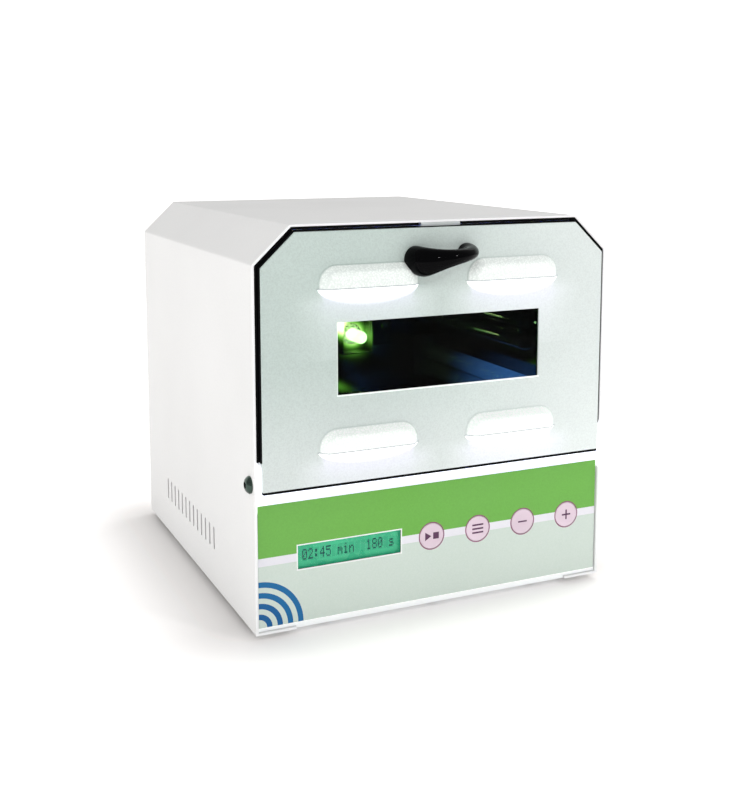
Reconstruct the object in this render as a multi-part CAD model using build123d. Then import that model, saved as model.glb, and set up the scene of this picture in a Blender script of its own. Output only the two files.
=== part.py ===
from build123d import *
import math
import os

os.makedirs("parts", exist_ok=True)

# ---------------------------------------------------------------- driving dimensions (mm)
# Drawing frame: x from the middle plane, y from the cover's front edge towards the back,
# z from the cover's underside. Everything is moved at the end so that the origin is the
# middle of the whole unit's footprint, at the feet's underside.
W, H, D = 228.0, 229.0, 244.0      # cover: width, height, depth
T = 1.2                            # sheet thickness
CHX, CHZ = 22.0, 21.0              # chamfer of the cover's upper long edges
FOOT_H, FOOT_R = 4.0, 9.0
PIV_Y, PIV_Z = 8.0, 85.0           # door pivot axis
DOOR_Y = -2.6                      # door's outer face
DOOR_Z0 = 82.6                     # door's lower edge
DOOR_GAP = 2.7                     # gap between the door's edge and the cover's inside
WIN_W, WIN_H, WIN_Z = 131.0, 41.2, 153.5
LOUVER_W, LOUVER_X = 60.0, 46.5
LOUVER_Z = (193.0, 101.0)          # slit heights
LOUVER_D, LOUVER_H = 5.0, 13.0     # hood depth and height
PANEL_Y = 1.5                      # control overlay's face
LCD_X0, LCD_X1, LCD_Z0, LCD_Z1 = -88.6, -24.2, 34.3, 48.1
BTN_X = (-4.0, 27.2, 58.7, 90.6)
BTN_Z, BTN_R, BTN_TRAVEL = 41.4, 7.8, 0.5
BTN_NAMES = ("start_button", "menu_button", "minus_button", "plus_button")
VENT_N, VENT_Y0, VENT_PITCH, VENT_W, VENT_Z0, VENT_Z1 = 13, 80.2, 9.23, 2.6, 23.6, 38.1
CH_X, CH_Y0, CH_Y1, CH_Z0, CH_Z1 = 98.0, 24.0, 190.0, 85.2, 214.0   # curing chamber's inside
TT_Y, TT_R = 107.0, 60.0           # turntable
LAMP_X, LAMP_Z, TUBE_R, TUBE_PITCH = 86.0, (151.5, 109.3), 6.0, 13.4
LAMP_Y0 = 40.0                     # front end of the tube lamps
BULB_X, BULB_Z = 25.0, 131.5
FAN_X, FAN_Z, FAN_R = -52.0, 150.0, 28.5
INLET_X, INLET_Z = 66.0, 34.0
ROCK_X, ROCK_Z = 66.0, 70.0

PARTS = {}


def add(name, shape):
    PARTS[name] = shape


def box(x0, x1, y0, y1, z0, z1):
    return Pos((x0 + x1) / 2, (y0 + y1) / 2, (z0 + z1) / 2) * Box(abs(x1 - x0), abs(y1 - y0), abs(z1 - z0))


def cyl(axis, r, a, b, u, v):
    """Cylinder along an axis from a to b; u, v are the other two coordinates in x, y, z order."""
    h, m = b - a, (a + b) / 2
    if axis == "x":
        return Pos(m, u, v) * Rot(0, 90, 0) * Cylinder(r, h)
    if axis == "y":
        return Pos(u, m, v) * Rot(90, 0, 0) * Cylinder(r, h)
    return Pos(u, v, m) * Cylinder(r, h)


def hexp(axis, af, a, b, u, v):
    """Hexagonal prism, af is the width across flats."""
    s = extrude(RegularPolygon(af / 2, 6, major_radius=False), (b - a) / 2, both=True)
    m = (a + b) / 2
    if axis == "x":
        return Pos(m, u, v) * Rot(0, 90, 0) * s
    if axis == "y":
        return Pos(u, m, v) * Rot(90, 0, 0) * s
    return Pos(u, v, m) * s


def prism_y(pts, y0, y1):
    """Polygon in the x, z plane, extruded along y from y0 to y1."""
    face = Plane.XZ * make_face(Polyline(*[(p[0], p[1]) for p in pts], close=True))
    # Plane.XZ looks along -y, so a positive extrusion goes towards -y
    return Pos(0, y1, 0) * extrude(face, y1 - y0)


def prism_x(pts, x0, x1):
    """Polygon in the y, z plane, extruded along x from x0 to x1."""
    face = Plane.YZ * make_face(Polyline(*[(p[0], p[1]) for p in pts], close=True))
    return Pos(x0, 0, 0) * extrude(face, x1 - x0)


def outline(off, z0):
    """The cover's front outline moved inwards by off, from height z0 up."""
    x = W / 2 - off
    z = H - off
    n = math.hypot(CHX, CHZ)
    # chamfer line: CHZ*(x-W/2+CHX)+CHX*(z-H) = 0, moved inwards by off
    k = -off * n
    # at x = W/2-off and at z = H-off
    zc = H + (k - CHZ * (x - W / 2 + CHX)) / CHX
    xc = W / 2 - CHX + (k - CHX * (z - H)) / CHZ
    return [(-x, z0), (-x, zc), (-xc, z), (xc, z), (x, zc), (x, z0)]


def soft(shape, edges, r):
    """Fillet with a fallback to the sharp shape."""
    for q in (r, r * 0.7, r * 0.45):
        try:
            s = fillet(edges, q)
            if s.is_valid and s.volume > 0:
                return s
        except Exception:
            pass
    return shape


def dome_screw(axis, sign, face, u, v, r_head, h_head, r_shank, l_shank):
    """Domed-head screw with a hexagon recess: the head rises from face in direction sign, the shank goes the other way."""
    prof = make_face([
        Line((0, 0), (r_head, 0)),
        Line((r_head, 0), (r_head, h_head * 0.25)),
        ThreePointArc((r_head, h_head * 0.25), (r_head * 0.74, h_head * 0.78), (0, h_head)),
        Line((0, h_head), (0, 0)),
    ])
    head = revolve(Plane.XZ * prof, Axis.Z, 360)
    head -= Pos(0, 0, h_head) * extrude(RegularPolygon(r_head * 0.36, 6, major_radius=False), h_head * 0.55, both=True)
    head += Pos(0, 0, -l_shank / 2 + 0.01) * Cylinder(r_shank, l_shank + 0.02)
    if axis == "x":
        return Pos(face, u, v) * Rot(0, 90 * sign, 0) * head
    if axis == "y":
        return Pos(u, face, v) * Rot(-90 * sign, 0, 0) * head
    return Pos(u, v, face) * (Rot(0, 0, 0) if sign > 0 else Rot(180, 0, 0)) * head


def group(items):
    return Compound([s for it in items for s in it.solids()])


# ---------------------------------------------------------------- screw positions shared by several pieces
FEET = [(sx * 100.0, y) for sx in (-1, 1) for y in (32.0, 212.0)]
SIDE_SCREWS = [(sx * 98.0, y) for sx in (-1, 1) for y in (86.0, 158.0)]
FRONT_SCREWS = [(x, 11.0) for x in (-70.0, 0.0, 70.0)]
REAR_BASE_SCREWS = [(x, 234.0) for x in (-70.0, 0.0, 70.0)]
REAR_SCREWS = [(sx * 106.0, z) for sx in (-1, 1) for z in (56.0, 186.0)]
HOLE_R, SHANK_R = 2.1, 1.95

# ---------------------------------------------------------------- outer cover
outer = outline(0, 0.0)
inner = outline(T, T)
shell = prism_y(outer, 0, D)
long_edges = [e for e in shell.edges().filter_by(Axis.Y) if e.center().Z > 50]
shell = soft(shell, long_edges, 2.2)
core = prism_y(inner, -1, D + 1)
core = soft(core, [e for e in core.edges().filter_by(Axis.Y) if e.center().Z > 50], 1.0)
cover = shell - core
cover -= box(-90, 90, -1, D + 1, -1, T + 1)
# rear tabs that take the rear panel's screws
for sx, z in REAR_SCREWS:
    s = 1 if sx > 0 else -1
    cover += box(s * 98, s * (W / 2 - T / 2), 240.4, 241.6, z - 7, z + 7)
    cover -= cyl("y", HOLE_R, 239, 243, sx, z)
for sx, y in FEET + SIDE_SCREWS:
    cover -= cyl("z", HOLE_R, -1, T + 1, sx, y)
for i in range(VENT_N):
    y = VENT_Y0 + i * VENT_PITCH
    s = box(-W / 2 - 2, W / 2 + 2, y - VENT_W / 2, y + VENT_W / 2, VENT_Z0 + VENT_W / 2, VENT_Z1 - VENT_W / 2)
    s += cyl("x", VENT_W / 2, -W / 2 - 2, W / 2 + 2, y, VENT_Z0 + VENT_W / 2)
    s += cyl("x", VENT_W / 2, -W / 2 - 2, W / 2 + 2, y, VENT_Z1 - VENT_W / 2)
    cover -= s
cover -= cyl("x", 2.25, -W, W, PIV_Y, PIV_Z)
add("outer_cover", cover)

# ---------------------------------------------------------------- base tray
TX = W / 2 - T - 0.4
tray = box(-TX, TX, 3.8, 240.0, T, 2 * T) + box(-TX, -TX + T, 3.8, 240.0, T, 13) + box(TX - T, TX, 3.8, 240.0, T, 13)
tray += box(-TX, TX, 3.8, 5.0, T, 10) + box(-TX, TX, 238.8, 240.0, T, 10)
for sx, y in FEET + SIDE_SCREWS + FRONT_SCREWS + REAR_BASE_SCREWS:
    tray -= cyl("z", HOLE_R, 0, 4, sx, y)
add("base_tray", tray)

# ---------------------------------------------------------------- front panel with bottom and top return flanges
PX = W / 2 - T - 0.3
fp = box(-PX, PX, 1.9, 3.1, T + 0.25, 74.0)
fp += box(-89.6, 89.6, 1.9, 3.1, 0.0, T + 0.4) + box(-89.6, 89.6, 1.9, 18, 0.0, T)
fp += box(-PX, PX, 1.9, 16, 71.0, 72.2)
fp -= box(LCD_X0 - 1.8, LCD_X1 + 1.8, 0, 5, LCD_Z0 - 1.8, LCD_Z1 + 1.8)
for x in BTN_X:
    fp -= cyl("y", 8.2, 0, 5, x, BTN_Z)
for x, y in FRONT_SCREWS:
    fp -= cyl("z", HOLE_R, -1, T + 0.5, x, y)
add("front_panel", fp)

ov = box(-PX + 0.5, PX - 0.5, PANEL_Y, 1.9, 2.9, 73.9)
ov -= box(LCD_X0, LCD_X1, 0, 5, LCD_Z0, LCD_Z1)
for x in BTN_X:
    ov -= cyl("y", 8.0, 0, 5, x, BTN_Z)
add("control_overlay", ov)

# ---------------------------------------------------------------- display
add("display_window", box(LCD_X0 - 1.6, LCD_X1 + 1.6, 1.9, 3.1, LCD_Z0 - 1.6, LCD_Z1 + 1.6))
bez = box(-96, -17, 3.3, 6.6, 27, 55.5) - box(LCD_X0 - 0.6, LCD_X1 + 0.6, 3, 4.0, LCD_Z0 - 0.6, LCD_Z1 + 0.6)
bez -= box(-93, -20, 3.9, 7, 29.5, 53)
add("display_glass", box(-92.8, -20.2, 4.0, 6.4, 29.7, 52.8))
lcdb = box(-97.5, -15.5, 6.6, 8.2, 23.5, 59)
add("display_module", group([bez, lcdb]))

# ---------------------------------------------------------------- control board and what is on it
cb = box(-100, 101, 14.0, 15.6, 14, 66)
for x, z in ((-103 + 8, 19), (96, 19), (-95, 61), (96, 61)):
    cb -= cyl("y", 1.7, 13, 17, x, z)
add("control_board", cb)
STAND = [hexp("y", 5.0, 3.1, 14.0, x, z) for x, z in ((-95.5, 17.5), (96, 19), (96, 61), (-5, 61))]
TACT = [box(x - 3, x + 3, 10.3, 14.0, BTN_Z - 3, BTN_Z + 3) + cyl("y", 1.7, 9.3, 10.4, x, BTN_Z) for x in BTN_X]
add("board_components", group(
    TACT + [box(-60, -30, 15.6, 19.6, 34, 44)]
    + [box(10, 24, 15.6, 27.6, 20, 34), box(40, 52, 15.6, 24.6, 22, 36), box(-86, -72, 15.6, 24.0, 40, 58)]
    + [cyl("y", 5, 15.6, 28, x, 52) for x in (60, 74)]
    + [box(-70, -30, 8.2, 14.0, 56.2, 58.7)]))

# ---------------------------------------------------------------- buttons
for x, n in zip(BTN_X, BTN_NAMES):
    b = cyl("y", BTN_R, 1.25, 3.6, x, BTN_Z)
    rim = b.edges().filter_by(GeomType.CIRCLE).sort_by(Axis.Y)[0]
    b = soft(b, [rim], 0.5)
    b += cyl("y", 9.4, 3.35, 4.15, x, BTN_Z) + cyl("y", 2.4, 4.0, 8.7, x, BTN_Z)
    add(n, b)

# ---------------------------------------------------------------- chamber front frame with its lower return
cf_pts = outline(T + 0.4, 69.8)
cf = prism_y(cf_pts, 22.8, CH_Y0) - box(-CH_X, CH_X, 20, 26, CH_Z0, CH_Z1)
cf += box(-PX + 0.1, PX - 0.1, 7.0, 23.0, 69.8, 71.0)
add("chamber_front_frame", cf)

# ---------------------------------------------------------------- curing chamber's mirror panels
floor = box(-CH_X, CH_X, CH_Y0, CH_Y1, CH_Z0 - T, CH_Z0) - cyl("z", 6.0, 80, 90, 0, TT_Y)
add("chamber_floor", floor)
add("chamber_sides", group([box(s * CH_X, s * (CH_X + T), CH_Y0, CH_Y1, CH_Z0 - T, CH_Z1) for s in (-1, 1)]))
add("chamber_ceiling", box(-CH_X - T, CH_X + T, CH_Y0, CH_Y1, CH_Z1, CH_Z1 + T))
back = box(-CH_X - T, CH_X + T, CH_Y1, CH_Y1 + T, CH_Z0 - T, CH_Z1 + T)
for s in (-1, 1):
    for z in LAMP_Z:
        back -= box(s * LAMP_X - 9, s * LAMP_X + 9, CH_Y1 - 1, CH_Y1 + 3, z - 17, z + 17)
back -= cyl("y", 8.0, CH_Y1 - 1, CH_Y1 + 3, BULB_X, BULB_Z)
for dx in (-28.0, 28.0):
    back -= cyl("y", 1.6, CH_Y1 - 1, CH_Y1 + 3, BULB_X + dx, BULB_Z + 4.8)
add("chamber_back", back)
# Z-section supports from the tray to the chamber floor
SUP = []
for s in (-1, 1):
    sp = box(s * 76, s * 77.2, 40, 180, 2 * T, CH_Z0 - T)
    sp += box(s * 76, s * 88, 40, 180, 2 * T, 3 * T) + box(s * 76, s * 88, 40, 180, CH_Z0 - 2 * T, CH_Z0 - T)
    for y in (75.0, 110.0, 145.0):
        sp -= cyl("x", 9, -100, 100, y, 48)
    SUP.append(sp)
add("chamber_supports", group(SUP))

# ---------------------------------------------------------------- tube lamps: twin glass tubes, cap and holder
LB = CH_Y1 - 6                     # the glass ends here, in its cap
TUBES = []
for s in (-1, 1):
    for z in LAMP_Z:
        x = s * LAMP_X
        h = TUBE_PITCH / 2
        glass = cyl("y", TUBE_R, LAMP_Y0 + TUBE_R, LB, x, z - h) + cyl("y", TUBE_R, LAMP_Y0 + TUBE_R, LB, x, z + h)
        glass += Pos(x, LAMP_Y0 + TUBE_R, z - h) * Sphere(TUBE_R) + Pos(x, LAMP_Y0 + TUBE_R, z + h) * Sphere(TUBE_R)
        glass += cyl("z", 3.2, z - h, z + h, x, LAMP_Y0 + 9)
        TUBES.append(glass)
add("tube_lamps", group(TUBES))
LAMPS = [(s * LAMP_X, z) for s in (-1, 1) for z in LAMP_Z]


def lamp_cap(x, z):
    c = box(x - 7, x + 7, LB, CH_Y1 + 9, z - 15, z + 15)
    c = soft(c, c.edges().filter_by(Axis.Y), 5.5)
    h = TUBE_PITCH / 2
    for dz in (-h, h):
        c -= cyl("y", TUBE_R, LB - 1, LB + 0.0, x, z + dz)
    c += box(x - 5, x + 5, CH_Y1 + 9, CH_Y1 + 16, z - 8, z + 8)
    c -= box(x - 8, x + 8, CH_Y1 - 0.0, CH_Y1 + T, z - 17.5, z - 14.9)
    return c


add("lamp_caps", group([lamp_cap(x, z) for x, z in LAMPS]))


def lamp_holder(x, z):
    h = box(x - 9.5, x + 9.5, CH_Y1 + T, CH_Y1 + 22, z - 19.5, z + 19.5)
    h -= box(x - 7.2, x + 7.2, CH_Y1, CH_Y1 + 9.2, z - 15.2, z + 15.2)
    h -= box(x - 5.2, x + 5.2, CH_Y1 + 8, CH_Y1 + 16.4, z - 8.2, z + 8.2)
    return h


add("lamp_holders", group([lamp_holder(x, z) for x, z in LAMPS]))

# ---------------------------------------------------------------- halogen bulb, its socket, bracket and screws
bul = cyl("y", 4.6, 171, 186, BULB_X, BULB_Z) + Pos(BULB_X, 171, BULB_Z) * Sphere(4.6) + Pos(BULB_X, 166.6, BULB_Z) * Cone(0.6, 1.6, 3.0, rotation=(90, 0, 0))
bul += box(BULB_X - 4.4, BULB_X + 4.4, 184, 190, BULB_Z - 1.6, BULB_Z + 1.6)
add("halogen_bulb", bul)
sock = cyl("y", 7.6, 187.4, 206, BULB_X, BULB_Z) - box(BULB_X - 4.5, BULB_X + 4.5, 186, 190.05, BULB_Z - 1.7, BULB_Z + 1.7)
add("bulb_socket", sock)
bk = box(BULB_X - 32.5, BULB_X + 32.5, 188.8, CH_Y1, BULB_Z - 10, BULB_Z + 16)
rim = box(BULB_X - 12.2, BULB_X + 12.2, 176, 188.8, BULB_Z - 13, BULB_Z + 16)
rim -= box(BULB_X - 11.2, BULB_X + 11.2, 175, 188.7, BULB_Z - 12, BULB_Z + 15)
bk += rim
bk -= cyl("y", 7.8, 180, 192, BULB_X, BULB_Z)
for dx in (-28.0, 28.0):
    bk -= cyl("y", 1.6, 180, 192, BULB_X + dx, BULB_Z + 4.8)
add("bulb_bracket", bk)
add("bulb_screws", group([dome_screw("y", -1, 188.8, BULB_X + dx, BULB_Z + 4.8, 3.6, 2.4, 1.5, 7.0) for dx in (-28.0, 28.0)]))

# ---------------------------------------------------------------- turntable
plate = Pos(0, TT_Y, 92.4) * Cylinder(TT_R, 2.4)
plate = soft(plate, plate.edges().filter_by(GeomType.CIRCLE), 0.6)
ringc = Pos(0, TT_Y, 93.4) * (Cylinder(TT_R - 4, 0.8) - Cylinder(TT_R - 5.2, 2))
plate -= ringc
add("turntable_plate", plate)
add("turntable_shaft", cyl("z", 3.0, 70.5, 90.0, 0, TT_Y) + cyl("z", 11.0, 87.2, 91.2, 0, TT_Y))
bush = (Pos(0, TT_Y, 83.9) * Cylinder(5.95, 5.2) + Pos(0, TT_Y, 85.8) * Cylinder(8.5, 1.2)) - Pos(0, TT_Y, 84) * Cylinder(3.05, 10)
add("turntable_bush", bush)
mot = Pos(0, TT_Y, 61.5) * Cylinder(25, 15)
mot = soft(mot, mot.edges().filter_by(GeomType.CIRCLE), 1.0)
mot += Pos(0, TT_Y, 70.5) * Cylinder(6, 3.4)
mot += box(-32, 32, TT_Y - 4, TT_Y + 4, 67.6, 69.0)
mot -= Pos(0, TT_Y, 70.5) * Cylinder(3.05, 6)
for sx in (-28.5, 28.5):
    mot -= cyl("z", 1.7, 66, 70, sx, TT_Y)
add("turntable_motor", mot)
add("standoffs", group(STAND + [hexp("z", 6.0, 69.0, CH_Z0 - T, sx, TT_Y) for sx in (-28.5, 28.5)]))

# ---------------------------------------------------------------- power supply, ballasts, reed switch
ps = box(-64, 30, 170.5, 232, 2 * T + 1.2, 40) - box(-62.8, 28.8, 171.7, 230.8, 4.8, 38.8)
for i in range(8):
    ps -= box(-56 + i * 10, -51 + i * 10, 178, 222, 38, 41)
add("power_supply", group([ps, box(-62, 28, 172.5, 230, 8, 9.6), box(-50, -18, 182, 214, 9.6, 34), box(-6, 12, 184, 206, 9.6, 28),
                                 cyl("z", 6, 9.6, 30, 18, 218), cyl("z", 6, 9.6, 30, 18, 202)]))
BAL = []
for s in (-1, 1):
    bl = box(s * 34, s * 70, 40, 160, 2 * T, 30)
    bl = soft(bl, bl.edges().filter_by(Axis.Y).filter_by(lambda e: e.center().Z > 20), 3.0)
    bl += box(s * 34, s * 70, 32, 168, 2 * T, 2 * T + 1.6)
    BAL.append(bl)
add("ballasts", group(BAL))

# ---------------------------------------------------------------- rear panel
rp = prism_y(outline(T + 0.3, T + 0.3), 241.8, 243.0)
rp += box(-88, 88, 241.8, 243.0, 0.0, T + 0.4) + box(-88, 88, 228, 243.0, 0.0, T)
rp -= cyl("y", FAN_R, 240, 245, FAN_X, FAN_Z)
FAN_H = 25.0
for sx in (-1, 1):
    for sz in (-1, 1):
        rp -= cyl("y", 2.2, 240, 245, FAN_X + sx * FAN_H, FAN_Z + sz * FAN_H)
rp -= box(INLET_X - 14, INLET_X + 14, 240, 245, INLET_Z - 10.2, INLET_Z + 10.2)
for sx in (-20, 20):
    rp -= cyl("y", 1.7, 240, 245, INLET_X + sx, INLET_Z)
rp -= box(ROCK_X - 9.8, ROCK_X + 9.8, 240, 245, ROCK_Z - 6.6, ROCK_Z + 6.6)
for i in range(7):
    x = 34 + i * 9.0
    rp -= box(x - 1.4, x + 1.4, 240, 245, 136, 164)
for x, z in REAR_SCREWS:
    rp -= cyl("y", HOLE_R, 240, 245, x, z)
for x, y in REAR_BASE_SCREWS:
    rp -= cyl("z", HOLE_R, -1, 2, x, y)
add("rear_panel", rp)

# ---------------------------------------------------------------- fan
ff = box(FAN_X - 30, FAN_X + 30, 221.6, 241.6, FAN_Z - 30, FAN_Z + 30)
ff = soft(ff, ff.edges().filter_by(Axis.Y), 3.0)
ff -= cyl("y", FAN_R, 220, 243, FAN_X, FAN_Z)
ff += cyl("y", 13.0, 239.4, 241.6, FAN_X, FAN_Z)
for k in range(4):
    ff += Pos(FAN_X, 240.5, FAN_Z) * Rot(0, 45 + 90 * k, 0) * box(10, 29.5, -1.1, 1.1, -1.8, 1.8)
for sx in (-1, 1):
    for sz in (-1, 1):
        ff -= cyl("y", 2.15, 220, 243, FAN_X + sx * FAN_H, FAN_Z + sz * FAN_H)
ff -= cyl("y", 2.05, 236, 243, FAN_X, FAN_Z)
add("fan_frame", ff)
ro = cyl("y", 13.0, 223.4, 238.6, FAN_X, FAN_Z)
ro = soft(ro, [ro.edges().filter_by(GeomType.CIRCLE).sort_by(Axis.Y)[0]], 1.2)
for k in range(7):
    blade = Rot(0, k * 360 / 7, 0) * (Pos(19.6, 0, 0) * Rot(36, 0, 0) * Box(15.2, 1.3, 15.5))
    ro += Pos(FAN_X, 231.0, FAN_Z) * blade
ro = ro & cyl("y", 27.4, 223.4, 238.6, FAN_X, FAN_Z)
ro += cyl("y", 2.0, 238.0, 241.3, FAN_X, FAN_Z)
add("fan_rotor", ro)


def ring(r, y0, y1, w=1.5):
    return cyl("y", r + w / 2, y0, y1, FAN_X, FAN_Z) - cyl("y", r - w / 2, y0 - 1, y1 + 1, FAN_X, FAN_Z)


guard = cyl("y", 3.4, 243.9, 245.6, FAN_X, FAN_Z)
for r in (9.0, 15.2, 21.4, 27.6):
    guard += ring(r, 243.9, 245.6)
for k in range(4):
    a = math.radians(45 + 90 * k)
    L = FAN_H * math.sqrt(2)
    guard += Pos(FAN_X, 243.7, FAN_Z) * Rot(0, 45 + 90 * k, 0) * box(1.0, L - 3.0, -0.7, 0.7, -0.8, 0.8)
    gx, gz = FAN_X + FAN_H * math.cos(a), FAN_Z + FAN_H * math.sin(a)
    guard += cyl("y", 4.2, 243.0, 244.4, gx, gz)
for sx in (-1, 1):
    for sz in (-1, 1):
        guard -= cyl("y", 2.15, 242, 247, FAN_X + sx * FAN_H, FAN_Z + sz * FAN_H)
add("fan_guard", guard)
FAN_SCREWS = ([dome_screw("y", 1, 244.4, FAN_X + sx * FAN_H, FAN_Z + sz * FAN_H, 3.8, 1.9, 2.0, 21.0) for sx in (-1, 1) for sz in (-1, 1)])

# ---------------------------------------------------------------- mains inlet with its two screws
fl = box(INLET_X - 25, INLET_X + 25, 243.0, 246.2, INLET_Z - 12, INLET_Z + 12)
fl = soft(fl, fl.edges().filter_by(Axis.Y), 4.0)
inl = fl + box(INLET_X - 13.6, INLET_X + 13.6, 227, 243.5, INLET_Z - 9.8, INLET_Z + 9.8)
cav = prism_y([(-12, -8.2), (-12, 3.6), (-7.4, 8.2), (7.4, 8.2), (12, 3.6), (12, -8.2)], 230, 247)
inl -= Pos(INLET_X, 0, INLET_Z) * cav
for sx in (-20, 20):
    inl -= cyl("y", 1.7, 240, 247, INLET_X + sx, INLET_Z)
PINS = ([box(INLET_X + dx - 2, INLET_X + dx + 2, 230, 240.5, INLET_Z + dz - 1.0, INLET_Z + dz + 1.0)
                         for dx, dz in ((-7, -2), (7, -2), (0, 2))])
add("mains_inlet", group([inl] + PINS))
INLET_SCREWS = ([dome_screw("y", 1, 246.2, INLET_X + sx, INLET_Z, 2.8, 1.6, 1.5, 8.0) for sx in (-20, 20)])

# ---------------------------------------------------------------- power switch
sb = box(ROCK_X - 12, ROCK_X + 12, 243.0, 245.0, ROCK_Z - 8.5, ROCK_Z + 8.5)
sb = soft(sb, sb.edges().filter_by(Axis.Y), 1.2)
sb += box(ROCK_X - 9.5, ROCK_X + 9.5, 229, 243.5, ROCK_Z - 6.4, ROCK_Z + 6.4)
sb -= box(ROCK_X - 8.2, ROCK_X + 8.2, 233, 247, ROCK_Z - 5.2, ROCK_Z + 5.2)
sb -= cyl("z", 1.55, ROCK_Z - 6.4, ROCK_Z + 6.4, ROCK_X, 240.0)
SWB = [sb, cyl("z", 1.5, ROCK_Z - 6.4, ROCK_Z + 6.4, ROCK_X, 240.0)]
add("power_switch_body", group(SWB))
# symmetric about its pin, resting tipped over by 7 degrees
pts = [(-7.1, 3.4), (-7.3, 6.9), (0.0, 5.3), (7.3, 6.9), (7.1, 3.4), (4.4, -3.5), (-4.4, -3.5)]
pf = make_face(Polyline(*pts, close=True))
rk = extrude(pf, 9.8) - Pos(0, 0, 4.9) * Cylinder(1.55, 20)
rk = Pos(ROCK_X, 240.0, ROCK_Z - 4.9) * Rot(0, 0, -7) * rk
add("power_rocker", rk)

# ---------------------------------------------------------------- seal round the door opening
se_out = prism_y(outline(T + 0.15, 99.0), 0.6, 6.0)
se_in = prism_y(outline(T + 1.6, 90.0), 0.0, 7.0)
seal = se_out - se_in
seal -= box(-14.0, 14.0, -1, 8, 220, 230)
add("door_seal", group([seal]))

# magnet catch under the cover's top
ct = box(-12.5, 12.5, 0.4, 15.0, 217.5, H - T)
add("door_catch", group([ct - box(-10.5, 10.5, 0.3, 10.0, 218.6, 223.6), box(-10.4, 10.4, 0.4, 9.8, 218.7, 223.5)]))
add("door_sensor", box(60, 76, 8, 14, 214.5, 219.5) + box(60, 76, 13, 22.8, 219.5, 220.7))

# ---------------------------------------------------------------- feet
FT = []
for x, y in FEET:
    ft = Pos(x, y, -FOOT_H / 2) * Cone(FOOT_R - 1.2, FOOT_R, FOOT_H)
    ft = soft(ft, [ft.edges().filter_by(GeomType.CIRCLE).sort_by(Axis.Z)[0]], 0.8)
    ft -= Pos(x, y, -3.3) * Cylinder(4.4, 2.6) + Pos(x, y, 0) * Cylinder(HOLE_R, 10)
    FT.append(ft)
add("feet", group(FT))
add("base_screws", group([dome_screw("z", -1, -2.0, x, y, 3.4, 1.7, SHANK_R, 8.0) for x, y in FEET] + [dome_screw("z", -1, 0.0, x, y, 3.4, 1.7, SHANK_R, 5.0) for x, y in SIDE_SCREWS + FRONT_SCREWS + REAR_BASE_SCREWS]))
add("rear_screws", group(FAN_SCREWS + INLET_SCREWS + [dome_screw("y", 1, 243.0, x, z, 3.6, 2.0, SHANK_R, 6.0) for x, z in REAR_SCREWS]))

# ---------------------------------------------------------------- pivot screws, washers and nuts
pv = []
pn = []
for s in (-1, 1):
    pv.append(dome_screw("x", s, s * W / 2, PIV_Y, PIV_Z, 5.0, 3.0, 2.0, 8.2))
    a, b = sorted((s * 109.7, s * 106.8))
    pn.append(hexp("x", 7.0, a, b, PIV_Y, PIV_Z) - cyl("x", 2.0, a - 1, b + 1, PIV_Y, PIV_Z))
add("pivot_screws", group(pv))
add("pivot_nuts", group(pn))

# ================================================================ door
DO = T + DOOR_GAP                  # inset of the door's outline from the cover's outside
skin = prism_y(outline(DO, DOOR_Z0), DOOR_Y, 5.0)
skin_e = [e for e in skin.edges().filter_by(Axis.Y) if e.center().Z > 100]
skin = soft(skin, skin_e, 2.0)
hollow = prism_y(outline(DO + T, DOOR_Z0 - 5), DOOR_Y + T, 6.0)
hollow = soft(hollow, [e for e in hollow.edges().filter_by(Axis.Y) if e.center().Z > 100], 0.8)
skin -= hollow
# rounded outer front edge
try:
    fe = [e for e in skin.edges() if abs(e.center().Y - DOOR_Y) < 0.01 and e.center().Z > DOOR_Z0 + 0.5]
    s2 = fillet(fe, 0.6)
    if s2.is_valid:
        skin = s2
except Exception:
    pass
skin -= box(-14.5, 14.5, DOOR_Y + T, 6, 215, 230)
for s in (-1, 1):
    skin -= box(s * 105, s * 113, 3.0, 6.0, 80, 100)


def hood(cx, z0, y0, w, h, d, r, rc=11.0):
    """Pressed louver hood: a rounded bulge whose lower side, at z0, is open. w is half its width, d its depth."""
    pts = [(cx - w, z0 - 9), (cx + w, z0 - 9), (cx + w, z0 + h), (cx - w, z0 + h)]
    sk = Plane.XZ * make_face(Polyline(*pts, close=True))
    sk = fillet(sk.vertices().sort_by(Axis.Z)[2:], rc)
    body = Pos(0, y0, 0) * extrude(sk, d, taper=40)
    es = [e for e in body.edges() if e.center().Y < y0 - d + 0.05 and e.center().Z > z0 - 2.5]
    body = soft(body, es, r)
    return body & box(cx - w - 9, cx + w + 9, y0 - d - 5, y0 + 5, z0, z0 + h + 5)


for zl in LOUVER_Z:
    for sx in (-1, 1):
        c = sx * LOUVER_X
        skin += hood(c, zl, DOOR_Y + 0.3, LOUVER_W / 2 + 0.8, LOUVER_H + 0.8, LOUVER_D + 0.3, 2.6)
        skin -= hood(c, zl - 0.01, DOOR_Y + T + 0.5, LOUVER_W / 2 + 0.2, LOUVER_H + 0.2, LOUVER_D + 0.5, 1.4, 10.4)
skin -= box(-WIN_W / 2, WIN_W / 2, -20, 3, WIN_Z - WIN_H / 2, WIN_Z + WIN_H / 2)
for sx in (-17.8, 15.4):
    skin -= cyl("y", 2.1, -10, 3, sx, 210.4)
add("door_panel", skin)

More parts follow.
